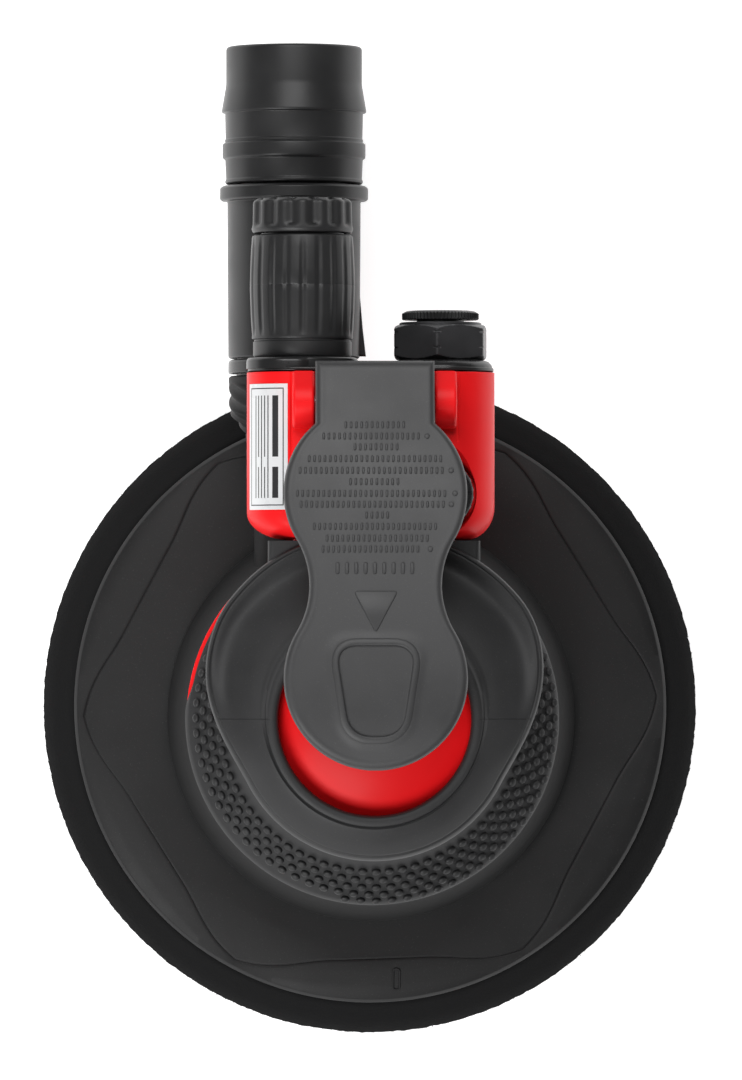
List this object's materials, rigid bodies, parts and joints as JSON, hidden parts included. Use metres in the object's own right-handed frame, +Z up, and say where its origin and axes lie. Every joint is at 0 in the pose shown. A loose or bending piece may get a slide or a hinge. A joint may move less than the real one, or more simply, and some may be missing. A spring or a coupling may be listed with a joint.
{
  "type": "random orbital air sander",
  "caption": "Palm-grip pneumatic random orbital sander with throttle lever, speed knob, exhaust muffler, swivelling dust hose spigot and round hook-faced backing pad.",
  "frame": {"origin": "on the motor axis, in the plane of the sanding face; the pad's own axis is 2.5 mm towards +Y at rest", "axes": "+Z up, out of the top of the tool; +Y towards the hose end; +X to the right seen from above with the hose end up"},
  "size_m": [0.15, 0.2245, 0.1015],
  "materials": {
    "hook_fabric": "woven hook facing, dark",
    "pad_foam": "open matte foam",
    "grip_rubber": "matte moulded",
    "black_plastic": "fine moulded grain",
    "red_housing": "gloss, moulded composite",
    "black_oxide": "blackened, satin",
    "steel": "ground",
    "aluminium": "machined",
    "sintered_steel": "machined",
    "brass": "turned",
    "vane_resin": "laminated resin",
    "felt": "felt",
    "label": "satin film"
  },
  "bodies": {
    "housing": {"motor_housing": "red_housing", "palm_grip": "grip_rubber", "lock_ring": "aluminium", "front_end_plate": "aluminium", "rear_end_plate": "aluminium", "motor_cylinder": "sintered_steel", "alignment_pin": "steel", "motor_o_ring": "grip_rubber", "front_bearing_outer_ring": "steel", "rear_bearing_outer_ring": "steel", "lever_pin": "steel", "throttle_sleeve": "brass", "regulator_retaining_ring": "steel", "valve_seat": "grip_rubber", "valve_spring": "steel", "inlet_screen": "brass", "inlet_bushing": "black_oxide", "rear_manifold": "black_plastic", "manifold_screw_1": "black_oxide", "manifold_screw_2": "black_oxide", "muffler_barrel": "black_plastic", "muffler_felt": "felt", "muffler_cap": "black_plastic", "dust_shroud": "grip_rubber", "dust_sleeve": "grip_rubber", "dust_tube": "black_plastic", "spigot_retaining_ring": "steel", "rating_label": "label"},
    "rotor": {"shaft_balancer": "sintered_steel", "rotor": "aluminium", "rotor_vane_1": "vane_resin", "rotor_vane_2": "vane_resin", "rotor_vane_3": "vane_resin", "rotor_vane_4": "vane_resin", "rotor_vane_5": "vane_resin", "rotor_key": "steel", "shaft_retaining_ring": "steel", "front_bearing_inner_ring": "steel", "front_bearing_ball_cage": "brass", "rear_bearing_inner_ring": "steel", "rear_bearing_ball_cage": "brass", "spindle_bearing_outer_ring": "steel", "spindle_bearing_ball_cage": "brass", "spindle_retaining_ring": "steel"},
    "pad": {"hook_facing": "hook_fabric", "pad_foam": "pad_foam", "pad_backing_plate": "black_plastic", "pad_stud": "steel", "spindle": "steel", "spindle_bearing_inner_ring": "steel"},
    "lever": {"throttle_lever": "black_plastic"},
    "throttle_pin": {"throttle_pin": "steel"},
    "tip_valve": {"tip_valve": "brass"},
    "regulator": {"speed_regulator": "black_plastic"},
    "spigot": {"hose_spigot": "black_plastic"},
    "dust_plug": {"inlet_dust_plug": "black_plastic"}
  },
  "joints": [
    {"name": "rotor_spin", "type": "hinge", "parent": "housing", "child": "rotor", "pos_m": [0, 0, 0.06], "axis": [0, 0, 1], "continuous": true},
    {"name": "pad_spin", "type": "hinge", "parent": "rotor", "child": "pad", "pos_m": [0, 0.0025, 0.0295], "axis": [0, 0, 1], "continuous": true},
    {"name": "lever_press", "type": "hinge", "parent": "housing", "child": "lever", "pos_m": [0, 0.0704, 0.0785], "axis": [1, 0, 0], "range_deg": [0, 7], "stiffness_Nm_per_rad": 1, "springref_deg": -5.73},
    {"name": "throttle_pin_slide", "type": "slide", "parent": "housing", "child": "throttle_pin", "axis": [0, 0, -1], "range_m": [0, 0.0028], "stiffness_N_per_m": 0.1, "springref_m": -0.206},
    {"name": "tip_valve_tilt", "type": "hinge", "parent": "housing", "child": "tip_valve", "pos_m": [0.0146, 0.0633, 0.0672], "axis": [1, 0, 0], "range_deg": [0, 10.6]},
    {"name": "regulator_turn", "type": "hinge", "parent": "housing", "child": "regulator", "pos_m": [0.0146, 0.05, 0.07], "axis": [0, 0, 1], "range_deg": [0, 90]},
    {"name": "spigot_swivel", "type": "hinge", "parent": "housing", "child": "spigot", "pos_m": [-0.0176, 0.115, 0.033], "axis": [0, 1, 0], "continuous": true},
    {"name": "plug_withdraw", "type": "slide", "parent": "housing", "child": "dust_plug", "axis": [0, 1, 0], "range_m": [0, 0.012]}
  ],
  "couplings": [
    {"joint": "throttle_pin_slide", "follows": "lever_press", "m_per_rad": 0.0204},
    {"joint": "tip_valve_tilt", "follows": "lever_press", "ratio": 1.5}
  ]
}
